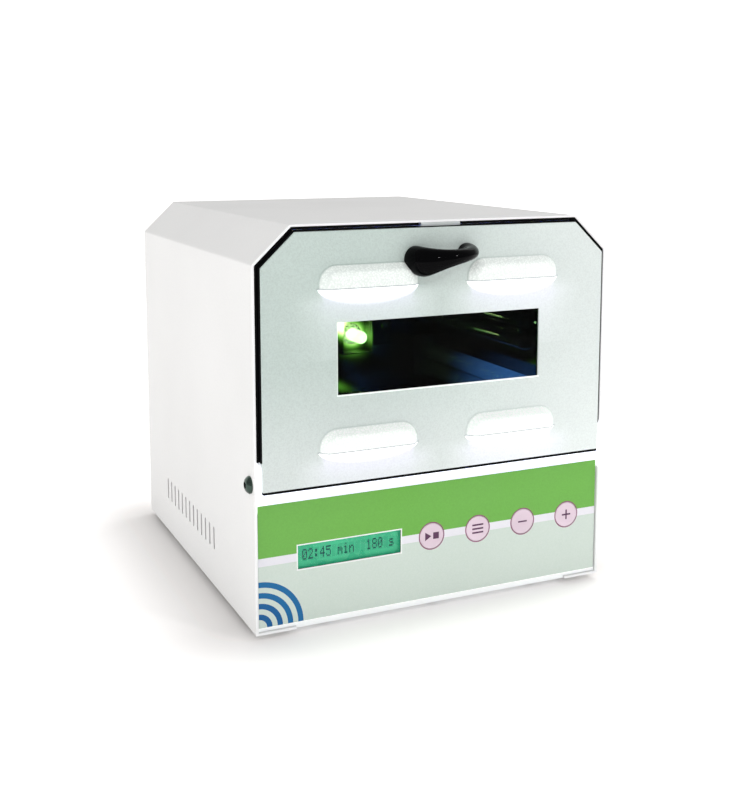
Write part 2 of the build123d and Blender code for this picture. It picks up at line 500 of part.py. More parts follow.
# rubber edging round the door's flange and under its lower edge
edging = prism_y(outline(DO - 0.6, DOOR_Z0 - 1.5), DOOR_Y + 0.7, 4.8) - prism_y(outline(DO, DOOR_Z0), -10, 10)
edging -= box(-200, 200, -0.2, 10, DOOR_Z0 - 3, 99.0)
edging -= box(-200, -W / 2 + DO + 0.1, -10, 10, 78.0, 99.0) + box(W / 2 - DO - 0.1, 200, -10, 10, 78.0, 99.0)
edging -= box(-14.5, 14.5, DOOR_Y + T, 10, 215, 230)
edging += box(-W / 2 + DO + 0.7, W / 2 - DO - 0.7, DOOR_Y + 0.1, -0.2, DOOR_Z0 - 1.5, DOOR_Z0)
add("door_edge_seal", edging)

# hinge ears, welded to the door's side flanges
EARS = []
for s in (-1, 1):
    x0, x1 = s * (W / 2 - DO), s * (W / 2 - DO + 1.5)
    e = box(x0, x1, -1.2, 13.6, 80.2, 98.6)
    e = soft(e, e.edges().filter_by(Axis.X), 4.8)
    a, b = sorted((x1 - s * 0.2, x1 + s * 0.9))
    e += cyl("x", 4.4, a, b, PIV_Y, PIV_Z)
    e -= cyl("x", 2.06, min(x0, x1) - 3, max(x0, x1) + 3, PIV_Y, PIV_Z)
    EARS.append(e)
add("hinge_ears", group(EARS))

# window filter, gasket and retainer
def frame(x, z, xo, zo, y0, y1):
    return box(-xo, xo, y0, y1, WIN_Z - zo, WIN_Z + zo) - box(-x, x, y0 - 1, y1 + 1, WIN_Z - z, WIN_Z + z)


yb = DOOR_Y + T
add("window_gasket", frame(66.2, 21.3, 72.0, 27.0, yb, yb + 0.8))
add("window_filter", box(-72, 72, yb + 0.8, yb + 3.8, WIN_Z - 27, WIN_Z + 27))
add("window_retainer", frame(67.5, 22.6, 76.0, 31.0, yb + 3.8, yb + 5.0))
RET_SCREWS = ([cyl("y", 1.5, yb, yb + 5.0, sx * 74.0, WIN_Z + sz * 29.0) + cyl("y", 2.6, yb + 5.0, yb + 6.2, sx * 74.0, WIN_Z + sz * 29.0)
               for sx in (-1, 1) for sz in (-1, 1)])
ret = PARTS["window_retainer"]
for sx in (-1, 1):
    for sz in (-1, 1):
        ret -= cyl("y", 1.6, yb, 6, sx * 74.0, WIN_Z + sz * 29.0)
PARTS["window_retainer"] = ret

# mirror panel on the door's inside, on spacers
IP = 5.2
ip = box(-106, 106, IP, IP + 1.0, 89.0, 211.0)
ip -= box(-79, 79, IP - 1, IP + 2, WIN_Z - 34, WIN_Z + 34)
for zl in LOUVER_Z:
    for sx in (-1, 1):
        for k in range(2):
            z = zl + 3.0 + k * 6.0
            if z < 209:
                ip -= box(sx * LOUVER_X - 25, sx * LOUVER_X + 25, IP - 1, IP + 2, z - 1.2, z + 1.2)
SP = [(sx * 100.0, z) for sx in (-1, 1) for z in (105.0, 153.5, 200.0)]
for x, z in SP:
    ip -= cyl("y", 1.6, IP - 1, IP + 2, x, z)
add("door_inner_panel", ip)
add("door_spacers", group([hexp("y", 5.0, yb, IP, x, z) - cyl("y", 1.45, yb + 1.0, 9, x, z) for x, z in SP]))
add("door_inner_screws", group(RET_SCREWS + [dome_screw("y", 1, IP + 1.0, x, z, 2.8, 1.4, 1.4, 5.0) for x, z in SP]))
add("strike_plate", box(-11.5, 11.5, yb, yb + 1.2, 216.6, 223.4))

# ---------------------------------------------------------------- door handle: a tapering bow on two roots
HC, HA, HP = -1.2, 16.6, 17.0
SEC = [  # t along the bow, half thickness in plan, half height, height of the top
    (0.00, 7.0, 7.8, 215.0), (0.10, 6.9, 8.4, 214.9), (0.22, 6.2, 7.8, 214.4), (0.36, 5.2, 6.0, 213.9), (0.50, 4.6, 4.6, 213.7),
    (0.64, 4.4, 3.9, 213.8), (0.78, 4.6, 3.8, 214.2), (0.90, 5.2, 4.2, 214.9), (1.00, 5.8, 4.6, 215.4)]
faces = []
for t, rn, rz, top in SEC:
    a = math.pi * t
    px, py = HC - HA * math.cos(a), DOOR_Y - HP * math.sin(a)
    tx, ty = HA * math.sin(a), -HP * math.cos(a)
    if t in (0.0, 1.0):
        tx = 0.0
    n = math.hypot(tx, ty)
    tx, ty = tx / n, ty / n
    faces.append(Plane(origin=(px, py, top - rz), x_dir=(ty, -tx, 0), z_dir=(tx, ty, 0)) * Ellipse(rn, rz))
bow = loft([f.faces()[0] for f in faces])
for sx in (HC - HA, HC + HA):
    bow -= cyl("y", 1.95, -12, 0, sx, 210.4)
bow -= hood(-LOUVER_X, LOUVER_Z[0] - 0.2, DOOR_Y + 0.3, LOUVER_W / 2 + 1.2, LOUVER_H + 1.1, LOUVER_D + 0.5, 2.6)
bow -= box(-60, 60, DOOR_Y, 5, 190, 225)
bow = max(bow.solids(), key=lambda q: q.volume)
add("door_handle", bow)
add("handle_screws", group([dome_screw("y", 1, yb, sx, 210.4, 3.6, 2.0, 1.9, 9.0) for sx in (HC - HA, HC + HA)]))

# ---------------------------------------------------------------- place and write
lo = [1e9] * 3
hi = [-1e9] * 3
for s in PARTS.values():
    bb = s.bounding_box()
    for i, (a, b) in enumerate(((bb.min.X, bb.max.X), (bb.min.Y, bb.max.Y), (bb.min.Z, bb.max.Z))):
        lo[i] = min(lo[i], a)
        hi[i] = max(hi[i], b)
SHIFT = (-(lo[0] + hi[0]) / 2, -(lo[1] + hi[1]) / 2, -lo[2])
print("box", [round(v, 3) for v in lo], [round(v, 3) for v in hi], "shift", [round(v, 4) for v in SHIFT])
for name, s in PARTS.items():
    solids = [Pos(*SHIFT) * q for q in s.solids()]
    export_step(solids[0] if len(solids) == 1 else Compound(solids), f"parts/{name}.step")
print(len(PARTS), "nodes")
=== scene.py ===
import bpy
import bmesh
import math
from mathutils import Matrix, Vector


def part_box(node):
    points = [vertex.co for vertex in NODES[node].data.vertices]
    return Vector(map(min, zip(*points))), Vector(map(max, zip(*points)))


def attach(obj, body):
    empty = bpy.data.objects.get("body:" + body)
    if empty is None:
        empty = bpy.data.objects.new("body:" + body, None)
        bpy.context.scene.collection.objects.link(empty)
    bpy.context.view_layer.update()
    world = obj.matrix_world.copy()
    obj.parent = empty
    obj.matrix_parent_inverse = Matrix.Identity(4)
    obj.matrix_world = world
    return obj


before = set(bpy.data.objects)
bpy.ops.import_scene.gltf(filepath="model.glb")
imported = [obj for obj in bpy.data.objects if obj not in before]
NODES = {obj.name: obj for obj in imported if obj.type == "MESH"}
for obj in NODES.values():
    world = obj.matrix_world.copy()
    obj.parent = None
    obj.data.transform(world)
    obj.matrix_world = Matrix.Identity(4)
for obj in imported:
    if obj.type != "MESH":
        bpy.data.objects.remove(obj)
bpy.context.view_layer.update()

# drawing coordinates in mm (x from the middle, y from the cover's front edge, z from its underside) to the row frame
SY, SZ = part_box("outer_cover")[0].y * 1000, 4.0
LOUVER_X, LOUVER_Z = 46.5, (193.0, 101.0)
BTN = {"start_button": -4.0, "menu_button": 27.2, "minus_button": 58.7, "plus_button": 90.6}
BTN_Z = 41.4
LCD_X0, LCD_X1, LCD_Z0, LCD_Z1 = -88.6, -24.2, 34.3, 48.1


def P(x, y, z):
    return Vector((x / 1000, (y + SY) / 1000, (z + SZ) / 1000))


# ---------------------------------------------------------------- small shader toolkit
class Mat:
    def __init__(self, name):
        self.m = bpy.data.materials.new(name)
        self.m.use_nodes = True
        self.t = self.m.node_tree
        self.t.nodes.clear()
        self.out = self.t.nodes.new("ShaderNodeOutputMaterial")
        self.bsdf = self.t.nodes.new("ShaderNodeBsdfPrincipled")
        self.t.links.new(self.bsdf.outputs[0], self.out.inputs[0])
        self._obj = None

    def put(self, sock, v):
        if isinstance(v, bpy.types.NodeSocket):
            self.t.links.new(v, sock)
        elif isinstance(v, (tuple, list)) and len(v) == 3 and sock.type == "RGBA":
            sock.default_value = (*v, 1.0)
        else:
            sock.default_value = v

    def set(self, **kw):
        for k, v in kw.items():
            self.put(self.bsdf.inputs[k.replace("_", " ")], v)
        return self

    def co(self):
        if self._obj is None:
            self._obj = self.t.nodes.new("ShaderNodeTexCoord").outputs["Object"]
        return self._obj

    def xyz(self):
        n = self.t.nodes.new("ShaderNodeSeparateXYZ")
        self.t.links.new(self.co(), n.inputs[0])
        return n.outputs

    def math(self, op, a, b=0.0, c=0.0, clamp=False):
        n = self.t.nodes.new("ShaderNodeMath")
        n.operation = op
        n.use_clamp = clamp
        self.put(n.inputs[0], a)
        self.put(n.inputs[1], b)
        self.put(n.inputs[2], c)
        return n.outputs[0]

    def scaled(self, sx, sy, sz):
        n = self.t.nodes.new("ShaderNodeMapping")
        self.t.links.new(self.co(), n.inputs["Vector"])
        n.inputs["Scale"].default_value = (sx, sy, sz)
        return n.outputs[0]

    def noise(self, scale, detail=3.0, rough=0.55, vec=None):
        n = self.t.nodes.new("ShaderNodeTexNoise")
        self.t.links.new(vec or self.co(), n.inputs["Vector"])
        n.inputs["Scale"].default_value = scale
        n.inputs["Detail"].default_value = detail
        n.inputs["Roughness"].default_value = rough
        return n.outputs["Fac"]

    def voronoi(self, scale, vec=None, feature="F1"):
        n = self.t.nodes.new("ShaderNodeTexVoronoi")
        n.feature = feature
        self.t.links.new(vec or self.co(), n.inputs["Vector"])
        n.inputs["Scale"].default_value = scale
        return n.outputs["Distance"]

    def ramp(self, fac, stops, mode="LINEAR"):
        n = self.t.nodes.new("ShaderNodeValToRGB")
        n.color_ramp.interpolation = mode
        el = n.color_ramp.elements
        while len(el) < len(stops):
            el.new(0.5)
        for e, (p, c) in zip(el, stops):
            e.position = p
            e.color = (*c, 1.0) if len(c) == 3 else c
        self.t.links.new(fac, n.inputs[0])
        return n.outputs[0]

    def map(self, v, a, b, c, d, smooth=False):
        n = self.t.nodes.new("ShaderNodeMapRange")
        n.clamp = True
        if smooth:
            n.interpolation_type = "SMOOTHSTEP"
        self.put(n.inputs[0], v)
        for i, q in enumerate((a, b, c, d)):
            n.inputs[1 + i].default_value = q
        return n.outputs[0]

    def mix(self, fac, a, b, mode="MIX"):
        n = self.t.nodes.new("ShaderNodeMix")
        n.data_type = "RGBA"
        n.blend_type = mode
        self.put(n.inputs[0], fac)
        self.put(n.inputs[6], a)
        self.put(n.inputs[7], b)
        return n.outputs[2]

    def bump(self, height, strength=0.3, dist=0.0002):
        n = self.t.nodes.new("ShaderNodeBump")
        n.inputs["Strength"].default_value = strength
        n.inputs["Distance"].default_value = dist
        self.put(n.inputs["Height"], height)
        self.t.links.new(n.outputs[0], self.bsdf.inputs["Normal"])
        return self


def shade(c, k):
    return tuple(min(1.0, v * k) for v in c)


def powder(name, col, rough=0.5, grain=0.35, scale=1400.0, dist=0.00012, spec=0.25):
    m = Mat(name)
    m.set(Specular_IOR_Level=spec)
    g = m.noise(scale, 2.0, 0.6)
    big = m.noise(9.0, 2.0, 0.5)
    speck = m.voronoi(scale * 0.7)
    c = m.mix(m.map(big, 0.3, 0.7, 0.0, 1.0), shade(col, 0.975), shade(col, 1.02))
    c = m.mix(m.map(g, 0.35, 0.7, 0.0, 0.22), c, shade(col, 0.86))
    m.set(Base_Color=c, Roughness=m.map(g, 0.3, 0.7, rough - 0.06, rough + 0.08))
    m.bump(m.math("ADD", g, m.math("MULTIPLY", speck, 0.5)), grain, dist)
    return m


def plastic(name, col, rough=0.4, coat=0.0, grain=0.12, scale=900.0, spec=0.5):
    m = Mat(name)
    m.set(Specular_IOR_Level=spec)
    g = m.noise(scale, 3.0, 0.6)
    big = m.noise(30.0, 2.0)
    c = m.mix(m.map(big, 0.3, 0.7, 0.0, 1.0), shade(col, 0.9), shade(col, 1.08))
    m.set(Base_Color=c, Roughness=m.map(g, 0.3, 0.7, max(0.02, rough - 0.05), rough + 0.06))
    if coat:
        m.set(Coat_Weight=coat, Coat_Roughness=0.04)
    m.bump(g, grain, 0.00005)
    return m


def metal(name, col, rough=0.3, along=(1, 1, 1), grain=0.15):
    m = Mat(name)
    v = m.scaled(*along)
    g = m.noise(1500.0, 4.0, 0.7, v)
    big = m.noise(40.0, 3.0)
    c = m.mix(m.map(g, 0.3, 0.7, 0.0, 1.0), shade(col, 0.88), shade(col, 1.05))
    r = m.math("ADD", m.map(g, 0.3, 0.7, rough - 0.05, rough + 0.07), m.map(big, 0.3, 0.7, -0.03, 0.03))
    m.set(Base_Color=c, Metallic=1.0, Roughness=r)
    m.bump(g, grain, 0.00003)
    return m


def rubber(name, col=(0.012, 0.012, 0.013), rough=0.7, spec=0.15):
    m = Mat(name)
    m.set(Specular_IOR_Level=spec)
    g = m.noise(700.0, 4.0, 0.7)
    c = m.mix(m.map(g, 0.3, 0.7, 0.0, 1.0), shade(col, 0.7), shade(col, 1.8))
    m.set(Base_Color=c, Roughness=m.map(g, 0.3, 0.7, rough - 0.1, rough + 0.1))
    m.bump(g, 0.3, 0.0001)
    return m


def galvanised(name, col=(0.55, 0.57, 0.58)):
    m = Mat(name)
    v = m.voronoi(160.0)
    g = m.noise(600.0, 3.0)
    c = m.mix(m.map(v, 0.0, 0.7, 0.0, 1.0), shade(col, 0.8), shade(col, 1.15))
    m.set(Base_Color=c, Metallic=1.0, Roughness=m.math("ADD", m.map(v, 0.0, 0.7, 0.28, 0.46), m.map(g, 0.3, 0.7, -0.04, 0.04)))
    m.bump(v, 0.1, 0.00005)
    return m


def assign(obj, mat):
    m = mat.m if isinstance(mat, Mat) else mat
    obj.data.materials.clear()
    obj.data.materials.append(m)


# ---------------------------------------------------------------- materials
WHITE = (0.75, 0.75, 0.745)
cover = powder("cover_powder", WHITE, 0.58, 0.22, spec=0.0)
x, y, z = cover.xyz()
# painted glow: emission on the cover's inner faces beside the gap under the door, standing in for the lamps' light
# there
painted_gap_glow = cover.math("MULTIPLY", cover.math("LESS_THAN", cover.math("ABSOLUTE", x), 0.1132), cover.math("LESS_THAN", y, (SY + 26.0) / 1000))
painted_gap_glow = cover.math("MULTIPLY", painted_gap_glow, cover.math("MULTIPLY", cover.math("GREATER_THAN", z, 0.074), cover.math("LESS_THAN", z, 0.104)))
# painted highlight: emission along the cover's front cut edge
painted_edge_highlight = cover.math("LESS_THAN", y, (SY + 0.7) / 1000)
cover.set(Emission_Color=(0.92, 0.94, 1.0), Emission_Strength=cover.math("ADD", cover.math("MULTIPLY", painted_gap_glow, 0.5), cover.math("MULTIPLY", painted_edge_highlight, 0.20)))
DOORC = (0.515, 0.605, 0.57)

# the door's skin: textured powder coat, with painted light on it: a painted glow of the lamps' light under each
# louver, painted highlights on the louver hoods and the window's cut edges, a painted shade stripe at each slit, and
# painted brightening towards the bottom and the right
dm = Mat("door_powder_painted_light")
g = dm.noise(1150.0, 3.0, 0.65)
spk = dm.voronoi(900.0)
big = dm.noise(7.0, 2.0)
dcol = dm.mix(dm.map(big, 0.3, 0.7, 0.0, 1.0), shade(DOORC, 0.97), shade(DOORC, 1.03))
dcol = dm.mix(dm.map(g, 0.4, 0.68, 0.0, 0.45), dcol, shade(DOORC, 0.74))
x, y, z = dm.xyz()
out = dm.math("SUBTRACT", (SY - 2.6) / 1000, y)
ax = dm.math("DIVIDE", dm.math("SUBTRACT", dm.math("ABSOLUTE", x), LOUVER_X / 1000), 0.0308)
ax2 = dm.math("MULTIPLY", ax, ax)
bow = dm.math("SQRT", dm.math("SUBTRACT", 1.0, ax2, clamp=True))
inlens = dm.math("GREATER_THAN", bow, 0.06)
wide = dm.map(dm.math("ABSOLUTE", ax), 0.75, 1.6, 1.0, 0.0, True)
# painted glow of the lamps' light below each louver's slit: a bright lens with a lavender fringe, plus a painted
# dark shade stripe along each slit
painted_glow_core = painted_glow_fringe = painted_slit_shade = None
for zl, depth in zip(LOUVER_Z, (0.0088, 0.0070)):
    down = dm.math("SUBTRACT", (zl + SZ + 0.2) / 1000, z)
    below = dm.math("MULTIPLY", dm.math("GREATER_THAN", down, 0.0), dm.math("LESS_THAN", down, 0.04))
    deep = dm.math("MAXIMUM", dm.math("MULTIPLY", bow, depth), 0.00002)
    v = dm.math("DIVIDE", down, deep)
    c1 = dm.math("MULTIPLY", dm.math("MULTIPLY", below, inlens), dm.map(v, 0.5, 1.25, 1.0, 0.0, True))
    past = dm.math("MAXIMUM", dm.math("SUBTRACT", down, dm.math("MULTIPLY", deep, 0.8)), 0.0)
    f1 = dm.math("MULTIPLY", below, dm.math("MULTIPLY", wide, dm.math("EXPONENT", dm.math("MULTIPLY", past, -62.0))))
    f1 = dm.math("MULTIPLY", f1, dm.math("MAXIMUM", dm.map(dm.math("ABSOLUTE", ax), 0.86, 1.02, 1.0, 0.0, True), dm.map(down, 0.0, 0.011, 0.0, 1.0, True)))
    painted_glow_core = c1 if painted_glow_core is None else dm.math("ADD", painted_glow_core, c1)
    painted_glow_fringe = f1 if painted_glow_fringe is None else dm.math("ADD", painted_glow_fringe, f1)
    line = dm.math("MULTIPLY", dm.math("LESS_THAN", dm.math("ABSOLUTE", dm.math("ADD", down, 0.0001)), 0.00042), dm.map(dm.math("ABSOLUTE", ax), 0.98, 1.04, 1.0, 0.0))
    painted_slit_shade = line if painted_slit_shade is None else dm.math("ADD", painted_slit_shade, line)
# painted highlight on the louver hoods: speckled extra emission here and a lighter base colour below
painted_hood_light = dm.map(out, 0.0002, 0.0012, 0.0, 1.0, True)
# painted light: emission and base colour rise towards the bottom and the right of the door
painted_light_from_low = dm.map(z, 0.085, 0.165, 1.0, 0.0, True)
painted_light_from_right = dm.map(x, -0.06, 0.12, 0.0, 1.0, True)
painted_hood_speck = dm.map(spk, 0.15, 0.6, 0.30, 0.12)
painted_wash = dm.math("ADD", dm.math("ADD", dm.math("MULTIPLY", painted_light_from_low, 0.11), dm.math("MULTIPLY", painted_light_from_right, 0.15)), dm.math("MULTIPLY", painted_hood_light, dm.math("SUBTRACT", painted_hood_speck, dm.math("MULTIPLY", painted_light_from_right, 0.10))))
strength = dm.math("ADD", dm.math("ADD", dm.math("MULTIPLY", painted_glow_core, 1.1), dm.math("MULTIPLY", painted_glow_fringe, 0.32)), painted_wash)
# the painted shade stripe at each slit also dims the painted glow there
strength = dm.math("MULTIPLY", strength, dm.math("SUBTRACT", 1.0, dm.math("MULTIPLY", painted_slit_shade, 0.6), clamp=True))
behind = dm.math("LESS_THAN", out, -0.0009)
# painted highlight along the window's lower cut edge and, weaker, its left cut edge
painted_cut_edge_highlight = dm.math("MULTIPLY", dm.math("LESS_THAN", dm.math("ABSOLUTE", dm.math("SUBTRACT", z, (132.75 + SZ) / 1000)), 0.0005), dm.math("LESS_THAN", dm.math("ABSOLUTE", x), 0.0659))
painted_left_edge_highlight = dm.math("MULTIPLY", dm.math("LESS_THAN", dm.math("ABSOLUTE", dm.math("ADD", x, 0.0656)), 0.0003), dm.math("LESS_THAN", dm.math("ABSOLUTE", dm.math("SUBTRACT", z, (153.5 + SZ) / 1000)), 0.0208))
painted_cut_edge_highlight = dm.math("MULTIPLY", dm.math("MAXIMUM", painted_cut_edge_highlight, dm.math("MULTIPLY", painted_left_edge_highlight, 0.6)), 0.5)
# painted light: base colour made lighter towards the bottom and the right
dcol = dm.mix(dm.math("MAXIMUM", painted_light_from_low, painted_light_from_right), dcol, (1.10, 1.03, 1.07), "MULTIPLY")
# painted highlight: the hoods' colour made lighter
dcol = dm.mix(dm.math("MULTIPLY", painted_hood_light, 0.6), dcol, (0.80, 0.84, 0.81))
# painted shade: a dark stripe painted along each slit
dcol = dm.mix(dm.math("MULTIPLY", painted_slit_shade, 0.5), dcol, (0.10, 0.11, 0.18))
dm.set(Base_Color=dcol, Roughness=dm.map(g, 0.3, 0.7, 0.5, 0.64),
       Emission_Color=dm.mix(dm.math("MULTIPLY", painted_glow_fringe, dm.math("SUBTRACT", 1.0, painted_glow_core, clamp=True)), (1.0, 1.0, 0.98), (0.80, 0.66, 1.0)),
       Emission_Strength=dm.math("ADD", dm.math("MULTIPLY", strength, dm.math("SUBTRACT", 1.0, behind)), painted_cut_edge_highlight))
dm.bump(dm.math("ADD", g, dm.math("MULTIPLY", spk, 0.6)), 0.5, 0.00016)

# printed film on the control panel: green band, pale stripe, grey-green field, corner motif
om = Mat("printed_overlay")
x, y, z = om.xyz()
zmm = om.math("SUBTRACT", om.math("MULTIPLY", z, 1000.0), SZ)
xmm = om.math("MULTIPLY", x, 1000.0)
film = om.noise(1100.0, 2.0, 0.6)
soft_n = om.noise(14.0, 2.0)
GREEN, LILAC, GREY, STRIP = (0.147, 0.42, 0.065), (0.80, 0.79, 0.85), (0.61, 0.70, 0.635), (0.92, 0.92, 0.92)
BLUE1, BLUE2 = (0.0, 0.10, 0.30), (0.0, 0.125, 0.33)
col = om.mix(om.map(zmm, 60.0, 74.0, 0.0, 0.35), GREEN, shade(GREEN, 0.86))
col = om.mix(om.math("LESS_THAN", zmm, 43.85), col, LILAC)
col = om.mix(om.math("LESS_THAN", zmm, 39.15), col, GREY)
dx = om.math("ADD", xmm, 112.3)
dz = om.math("SUBTRACT", zmm, 3.6)
rad = om.math("SQRT", om.math("ADD", om.math("MULTIPLY", dx, dx), om.math("MULTIPLY", dz, dz)))
for r0, r1, bc in ((5.0, 8.2, BLUE1), (11.2, 14.4, BLUE1), (17.4, 20.6, BLUE2), (23.6, 26.8, BLUE2)):
    inside = om.math("MULTIPLY", om.math("GREATER_THAN", rad, r0), om.math("LESS_THAN", rad, r1))
    inside = om.math("MULTIPLY", inside, om.math("GREATER_THAN", zmm, 3.6))
    col = om.mix(inside, col, bc)
col = om.mix(om.math("LESS_THAN", zmm, 3.5), col, STRIP)
ux = om.math("SUBTRACT", om.math("ABSOLUTE", om.math("SUBTRACT", xmm, (LCD_X0 + LCD_X1) / 2)), (LCD_X1 - LCD_X0) / 2)
uz = om.math("SUBTRACT", om.math("ABSOLUTE", om.math("SUBTRACT", zmm, (LCD_Z0 + LCD_Z1) / 2)), (LCD_Z1 - LCD_Z0) / 2)
col = om.mix(om.math("LESS_THAN", om.math("MAXIMUM", ux, uz), 0.7), col, STRIP)
col = om.mix(om.map(film, 0.3, 0.7, 0.0, 0.10), col, (1.0, 1.0, 1.0), "OVERLAY")
col = om.mix(om.map(soft_n, 0.3, 0.7, 0.0, 0.05), col, (0.3, 0.35, 0.3))
# painted highlight: the white bottom strip gets a little emission
om.set(Base_Color=col, Roughness=om.map(film, 0.3, 0.7, 0.36, 0.5), Specular_IOR_Level=0.25, Emission_Color=(1.0, 1.0, 1.0),
       Emission_Strength=om.math("MULTIPLY", om.math("LESS_THAN", zmm, 3.5), 0.22))
om.bump(film, 0.12, 0.00005)

# display: lit green field with faint character cells
lm = Mat("display_field")
x, y, z = lm.xyz()
u = lm.math("DIVIDE", lm.math("SUBTRACT", lm.math("MULTIPLY", x, 1000.0), LCD_X0 + 3.2), 3.62)
cell = lm.math("FRACT", u)
ingrid = lm.math("MULTIPLY", lm.math("GREATER_THAN", cell, 0.09), lm.math("LESS_THAN", cell, 0.91))
zz = lm.math("SUBTRACT", lm.math("MULTIPLY", z, 1000.0), SZ)
inrow = lm.math("MULTIPLY", lm.math("GREATER_THAN", zz, 37.6), lm.math("LESS_THAN", zz, 44.9))
inx = lm.math("MULTIPLY", lm.math("GREATER_THAN", u, 0.0), lm.math("LESS_THAN", u, 16.0))
cellm = lm.math("MULTIPLY", lm.math("MULTIPLY", ingrid, inrow), inx)
n1 = lm.noise(60.0, 2.0)
fieldc = lm.mix(lm.map(n1, 0.3, 0.7, 0.0, 1.0), (0.045, 0.40, 0.23), (0.06, 0.47, 0.27))
fieldc = lm.mix(lm.math("MULTIPLY", cellm, 0.30), fieldc, (0.02, 0.25, 0.15))
lm.set(Base_Color=fieldc, Roughness=lm.map(n1, 0.3, 0.7, 0.25, 0.33), Emission_Color=fieldc, Emission_Strength=0.32)
lm.bump(n1, 0.05, 0.00002)

ink = plastic("display_ink", (0.006, 0.075, 0.095), 0.4)
clear = Mat("display_clear")
cg = clear.noise(300.0, 2.0)
clear.set(Base_Color=(0.85, 1.0, 0.93), Roughness=clear.map(cg, 0.3, 0.7, 0.04, 0.07), IOR=1.05, Specular_IOR_Level=0.15, Transmission_Weight=1.0)
clear.bump(cg, 0.02, 0.00001)

filt = Mat("window_filter_tint")
fg = filt.noise(25.0, 2.0)
filt.set(Base_Color=filt.mix(filt.map(fg, 0.3, 0.7, 0.0, 1.0), (0.0105, 0.025, 0.0105), (0.0115, 0.027, 0.0115)), Specular_IOR_Level=0.1,
         Roughness=filt.map(fg, 0.3, 0.7, 0.01, 0.025), IOR=1.08, Transmission_Weight=1.0)

mirror = Mat("mirror_sheet")
mg = mirror.noise(35.0, 3.0)
ms = mirror.noise(900.0, 3.0, 0.7, mirror.scaled(1.0, 0.08, 1.0))
mirror.set(Base_Color=mirror.mix(mirror.map(mg, 0.3, 0.7, 0.0, 1.0), (0.26, 0.27, 0.28), (0.36, 0.37, 0.38)), Metallic=1.0,
           Roughness=mirror.math("ADD", mirror.map(mg, 0.3, 0.7, 0.04, 0.10), mirror.map(ms, 0.3, 0.7, 0.0, 0.05)))
mirror.bump(mg, 0.06, 0.0006)

side_mirror = Mat("mirror_sheet_side")
mg = side_mirror.noise(35.0, 3.0)
side_mirror.set(Base_Color=side_mirror.mix(side_mirror.map(mg, 0.3, 0.7, 0.0, 1.0), (0.15, 0.155, 0.16), (0.21, 0.215, 0.22)), Metallic=1.0,
                Roughness=side_mirror.map(mg, 0.3, 0.7, 0.05, 0.12))
side_mirror.bump(mg, 0.06, 0.0006)

# the mirror at the back, with a painted glow of the bulb's light on it (emission patches)
mb = Mat("mirror_sheet_back_painted_glow")
x, y, z = mb.xyz()
mg = mb.noise(35.0, 3.0)


def patch(m, x, z, cx, cz, area):
    """Round patch of painted light, an emission mask, area in square metres."""
    a, b = m.math("SUBTRACT", x, cx), m.math("SUBTRACT", z, cz)
    return m.math("EXPONENT", m.math("DIVIDE", m.math("ADD", m.math("MULTIPLY", a, a), m.math("MULTIPLY", b, b)), -area))


painted_bulb_halo = mb.math("ADD", patch(mb, x, z, 0.0280, 0.1345, 62e-6), mb.math("MULTIPLY", patch(mb, x, z, 0.0160, 0.1440, 36e-6), 0.9))
lowx = mb.math("MULTIPLY", mb.math("SUBTRACT", x, 0.012), 0.32)
lowz = mb.math("SUBTRACT", mb.math("ADD", z, mb.math("MULTIPLY", mb.math("MAXIMUM", mb.math("SUBTRACT", x, 0.010), 0.0), 0.36)), 0.0985)
low = mb.math("EXPONENT", mb.math("DIVIDE", mb.math("ADD", mb.math("MULTIPLY", lowx, lowx), mb.math("MULTIPLY", lowz, lowz)), -11e-6))
painted_bulb_halo = mb.math("ADD", painted_bulb_halo, mb.math("MULTIPLY", low, 0.045))
painted_bulb_halo = mb.math("MULTIPLY", painted_bulb_halo, mb.math("LESS_THAN", y, (SY + 190.05) / 1000))
rr = painted_bulb_halo
mb.set(Base_Color=mb.mix(mb.map(mg, 0.3, 0.7, 0.0, 1.0), (0.10, 0.105, 0.105), (0.14, 0.145, 0.145)), Metallic=1.0, Roughness=mb.map(mg, 0.3, 0.7, 0.06, 0.12),
       Emission_Color=mb.mix(mb.map(rr, 0.03, 0.35, 0.0, 1.0), (0.60, 1.0, 0.18), (1.0, 0.66, 0.50)), Emission_Strength=mb.math("MULTIPLY", painted_bulb_halo, 210.0))
mb.bump(mg, 0.06, 0.0006)

tube = Mat("tube_phosphor")
x, y, z = tube.xyz()
tg = tube.noise(120.0, 3.0)
endd = tube.map(y, -0.072, -0.060, 0.0, 1.0, True)
front = tube.map(y, -0.07, 0.035, 1.0, 0.0, True)
lowp = tube.math("LESS_THAN", z, 0.135)
tube.set(Base_Color=tube.mix(endd, (0.06, 0.065, 0.08), (0.09, 0.10, 0.12)), Roughness=tube.mix(lowp, (0.035, 0.035, 0.035), (0.5, 0.5, 0.5)),
         Emission_Color=(0.09, 0.15, 1.0), Emission_Strength=tube.math("MULTIPLY", tube.math("MULTIPLY", lowp, front), tube.map(tg, 0.3, 0.7, 19.0, 25.0)))
tube.bump(tg, 0.03, 0.00005)

bulb = Mat("bulb_lit")
bg = bulb.noise(260.0, 2.0)
bulb.set(Base_Color=(1.0, 0.95, 0.8), Roughness=bulb.map(bg, 0.3, 0.7, 0.05, 0.1), Emission_Color=(1.0, 0.98, 0.82), Emission_Strength=bulb.map(bg, 0.3, 0.7, 90.0, 105.0))

bk = Mat("bulb_bracket_painted_glow")
x, y, z = bk.xyz()
bn = bk.noise(900.0, 3.0, 0.7, bk.scaled(0.06, 1.0, 1.0))
